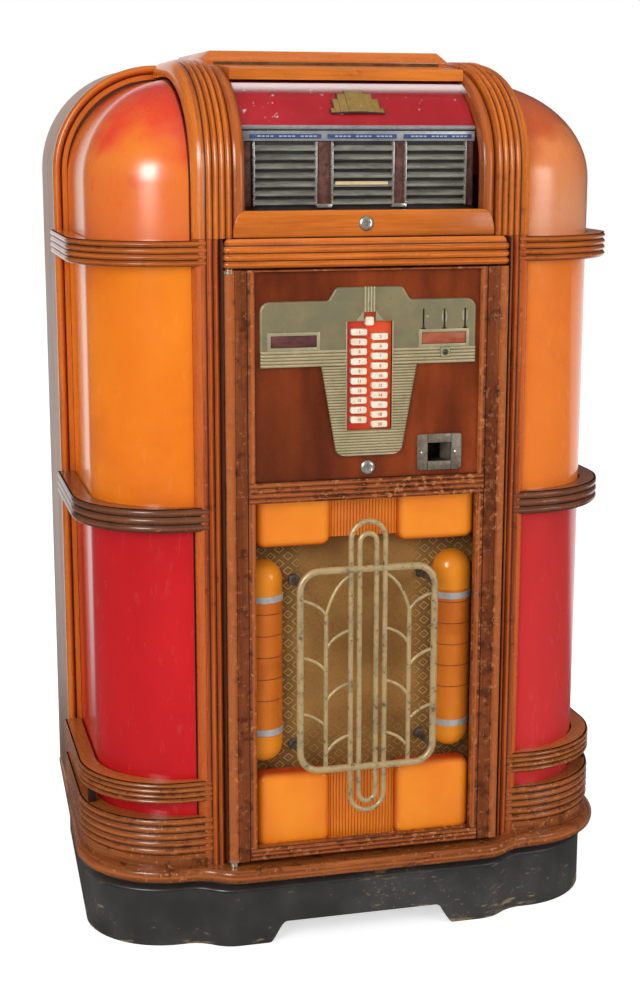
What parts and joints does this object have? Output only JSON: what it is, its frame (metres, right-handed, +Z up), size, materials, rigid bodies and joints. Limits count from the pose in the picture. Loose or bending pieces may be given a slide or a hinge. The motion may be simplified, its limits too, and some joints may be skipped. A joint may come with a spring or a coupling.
{
  "type": "jukebox",
  "caption": "Floor-standing coin-operated record player with lit plastic corners, hinged door and window lid, push-button selector, cast grille and record changer.",
  "frame": {"origin": "on the floor under the middle of the overall box", "axes": "+Z up, the front with its door faces -Y, +X is the viewer's right from the front"},
  "size_m": [0.92, 0.62, 1.45],
  "materials": {
    "wood": "orange-brown lacquered hardwood, worn satin",
    "dark_wood": "worn dark brown lacquered hardwood with light scuffs",
    "band_wood": "black-brown lacquered hardwood",
    "veneer": "lacquered walnut veneer on bent plywood",
    "walnut": "red-brown walnut veneer, gloss lacquer",
    "dark_board": "dark stained board, matt",
    "black_paint": "satin black paint with tan scuffs",
    "red_plastic": "glossy translucent red",
    "amber_plastic": "glossy translucent orange",
    "dome_plastic": "glossy translucent orange marbled with red",
    "window_glass": "clear bent glass",
    "bronze": "cast metal with a greenish bronze finish",
    "antique_brass": "pale worn brass casting",
    "nickel": "worn nickel plate",
    "red_enamel": "red-orange enamel on sheet metal",
    "ivory": "glossy ivory plastic",
    "grille_cloth": "gold brocade with a diamond lattice on board",
    "speaker_grey": "pressed steel basket and paper cone",
    "chassis_metal": "grey metal castings and chassis",
    "felt_metal": "felt face on a metal platter"
  },
  "bodies": {
    "cabinet": {"plinth": "black_paint", "base_moulding": "wood", "cabinet_shell": "veneer", "arch_bead": "wood", "back_panel": "dark_board", "front_rail": "wood", "top_cap": "wood", "pilaster_left": "wood", "pilaster_right": "wood", "upper_band_left": "wood", "upper_band_right": "wood", "middle_band_left": "band_wood", "middle_band_right": "band_wood", "red_panel_left": "red_plastic", "red_panel_right": "red_plastic", "amber_panel_left": "amber_plastic", "amber_panel_right": "amber_plastic", "dome_left": "dome_plastic", "dome_right": "dome_plastic", "title_board": "red_enamel", "speaker": "speaker_grey", "amplifier": "chassis_metal", "record_changer": "chassis_metal"},
    "turntable": {"turntable": "felt_metal"},
    "tone_arm": {"tone_arm": "nickel"},
    "lid": {"window_frame": "wood", "window_glass": "window_glass"},
    "lid_lock": {"lid_lock_plug": "nickel"},
    "door": {"door_frame": "dark_wood", "selector_panel": "walnut", "escutcheon": "bronze", "button_plate": "red_enamel", "coin_unit": "nickel", "cloth_board": "grille_cloth", "cast_grille": "antique_brass", "plastic_top": "amber_plastic", "plastic_bottom": "amber_plastic"},
    "door_lock": {"door_lock_plug": "nickel"},
    "reset": {"reset_button": "ivory"},
    "coin_reject": {"coin_reject_button": "nickel"},
    "button_01": {"selector_button_01": "ivory"},
    "button_02": {"selector_button_02": "ivory"},
    "button_03": {"selector_button_03": "ivory"},
    "button_04": {"selector_button_04": "ivory"},
    "button_05": {"selector_button_05": "ivory"},
    "button_06": {"selector_button_06": "ivory"},
    "button_07": {"selector_button_07": "ivory"},
    "button_08": {"selector_button_08": "ivory"},
    "button_09": {"selector_button_09": "ivory"},
    "button_10": {"selector_button_10": "ivory"},
    "button_11": {"selector_button_11": "ivory"},
    "button_12": {"selector_button_12": "ivory"},
    "button_13": {"selector_button_13": "ivory"},
    "button_14": {"selector_button_14": "ivory"},
    "button_15": {"selector_button_15": "ivory"},
    "button_16": {"selector_button_16": "ivory"},
    "button_17": {"selector_button_17": "ivory"},
    "button_18": {"selector_button_18": "ivory"},
    "button_19": {"selector_button_19": "ivory"},
    "button_20": {"selector_button_20": "ivory"}
  },
  "joints": [
    {"name": "door_hinge", "type": "hinge", "parent": "cabinet", "child": "door", "pos_m": [-0.2205, -0.28, 0.1555], "axis": [0, 0, -1], "range_deg": [0, 100]},
    {"name": "lid_hinge", "type": "hinge", "parent": "cabinet", "child": "lid", "pos_m": [0, -0.0225, 1.42949], "axis": [-1, 0, 0], "range_deg": [0, 70]},
    {"name": "lid_lock_turn", "type": "hinge", "parent": "lid", "child": "lid_lock", "pos_m": [0, -0.264, 1.1815], "axis": [0, 1, 0], "range_deg": [0, 90]},
    {"name": "door_lock_turn", "type": "hinge", "parent": "door", "child": "door_lock", "pos_m": [0, -0.282, 0.8005], "axis": [0, 1, 0], "range_deg": [0, 90]},
    {"name": "turntable_spin", "type": "hinge", "parent": "cabinet", "child": "turntable", "pos_m": [0.124, 0.06, 0.8776], "axis": [0, 0, -1], "continuous": true},
    {"name": "tone_arm_swing", "type": "hinge", "parent": "cabinet", "child": "tone_arm", "pos_m": [0.225, 0.205, 0.9073], "axis": [0, 0, -1], "range_deg": [0, 32]},
    {"name": "button_01_press", "type": "slide", "parent": "door", "child": "button_01", "axis": [0, 1, 0], "range_m": [0, 0.004], "stiffness_N_per_m": 150, "springref_m": -0.002},
    {"name": "button_02_press", "type": "slide", "parent": "door", "child": "button_02", "axis": [0, 1, 0], "range_m": [0, 0.004], "stiffness_N_per_m": 150, "springref_m": -0.002},
    {"name": "button_03_press", "type": "slide", "parent": "door", "child": "button_03", "axis": [0, 1, 0], "range_m": [0, 0.004], "stiffness_N_per_m": 150, "springref_m": -0.002},
    {"name": "button_04_press", "type": "slide", "parent": "door", "child": "button_04", "axis": [0, 1, 0], "range_m": [0, 0.004], "stiffness_N_per_m": 150, "springref_m": -0.002},
    {"name": "button_05_press", "type": "slide", "parent": "door", "child": "button_05", "axis": [0, 1, 0], "range_m": [0, 0.004], "stiffness_N_per_m": 150, "springref_m": -0.002},
    {"name": "button_06_press", "type": "slide", "parent": "door", "child": "button_06", "axis": [0, 1, 0], "range_m": [0, 0.004], "stiffness_N_per_m": 150, "springref_m": -0.002},
    {"name": "button_07_press", "type": "slide", "parent": "door", "child": "button_07", "axis": [0, 1, 0], "range_m": [0, 0.004], "stiffness_N_per_m": 150, "springref_m": -0.002},
    {"name": "button_08_press", "type": "slide", "parent": "door", "child": "button_08", "axis": [0, 1, 0], "range_m": [0, 0.004], "stiffness_N_per_m": 150, "springref_m": -0.002},
    {"name": "button_09_press", "type": "slide", "parent": "door", "child": "button_09", "axis": [0, 1, 0], "range_m": [0, 0.004], "stiffness_N_per_m": 150, "springref_m": -0.002},
    {"name": "button_10_press", "type": "slide", "parent": "door", "child": "button_10", "axis": [0, 1, 0], "range_m": [0, 0.004], "stiffness_N_per_m": 150, "springref_m": -0.002},
    {"name": "button_11_press", "type": "slide", "parent": "door", "child": "button_11", "axis": [0, 1, 0], "range_m": [0, 0.004], "stiffness_N_per_m": 150, "springref_m": -0.002},
    {"name": "button_12_press", "type": "slide", "parent": "door", "child": "button_12", "axis": [0, 1, 0], "range_m": [0, 0.004], "stiffness_N_per_m": 150, "springref_m": -0.002},
    {"name": "button_13_press", "type": "slide", "parent": "door", "child": "button_13", "axis": [0, 1, 0], "range_m": [0, 0.004], "stiffness_N_per_m": 150, "springref_m": -0.002},
    {"name": "button_14_press", "type": "slide", "parent": "door", "child": "button_14", "axis": [0, 1, 0], "range_m": [0, 0.004], "stiffness_N_per_m": 150, "springref_m": -0.002},
    {"name": "button_15_press", "type": "slide", "parent": "door", "child": "button_15", "axis": [0, 1, 0], "range_m": [0, 0.004], "stiffness_N_per_m": 150, "springref_m": -0.002},
    {"name": "button_16_press", "type": "slide", "parent": "door", "child": "button_16", "axis": [0, 1, 0], "range_m": [0, 0.004], "stiffness_N_per_m": 150, "springref_m": -0.002},
    {"name": "button_17_press", "type": "slide", "parent": "door", "child": "button_17", "axis": [0, 1, 0], "range_m": [0, 0.004], "stiffness_N_per_m": 150, "springref_m": -0.002},
    {"name": "button_18_press", "type": "slide", "parent": "door", "child": "button_18", "axis": [0, 1, 0], "range_m": [0, 0.004], "stiffness_N_per_m": 150, "springref_m": -0.002},
    {"name": "button_19_press", "type": "slide", "parent": "door", "child": "button_19", "axis": [0, 1, 0], "range_m": [0, 0.004], "stiffness_N_per_m": 150, "springref_m": -0.002},
    {"name": "button_20_press", "type": "slide", "parent": "door", "child": "button_20", "axis": [0, 1, 0], "range_m": [0, 0.004], "stiffness_N_per_m": 150, "springref_m": -0.002},
    {"name": "reset_press", "type": "slide", "parent": "door", "child": "reset", "axis": [0, 1, 0], "range_m": [0, 0.004], "stiffness_N_per_m": 150, "springref_m": -0.002},
    {"name": "coin_reject_press", "type": "slide", "parent": "door", "child": "coin_reject", "axis": [0, 1, 0], "range_m": [0, 0.004], "stiffness_N_per_m": 150, "springref_m": -0.002}
  ]
}
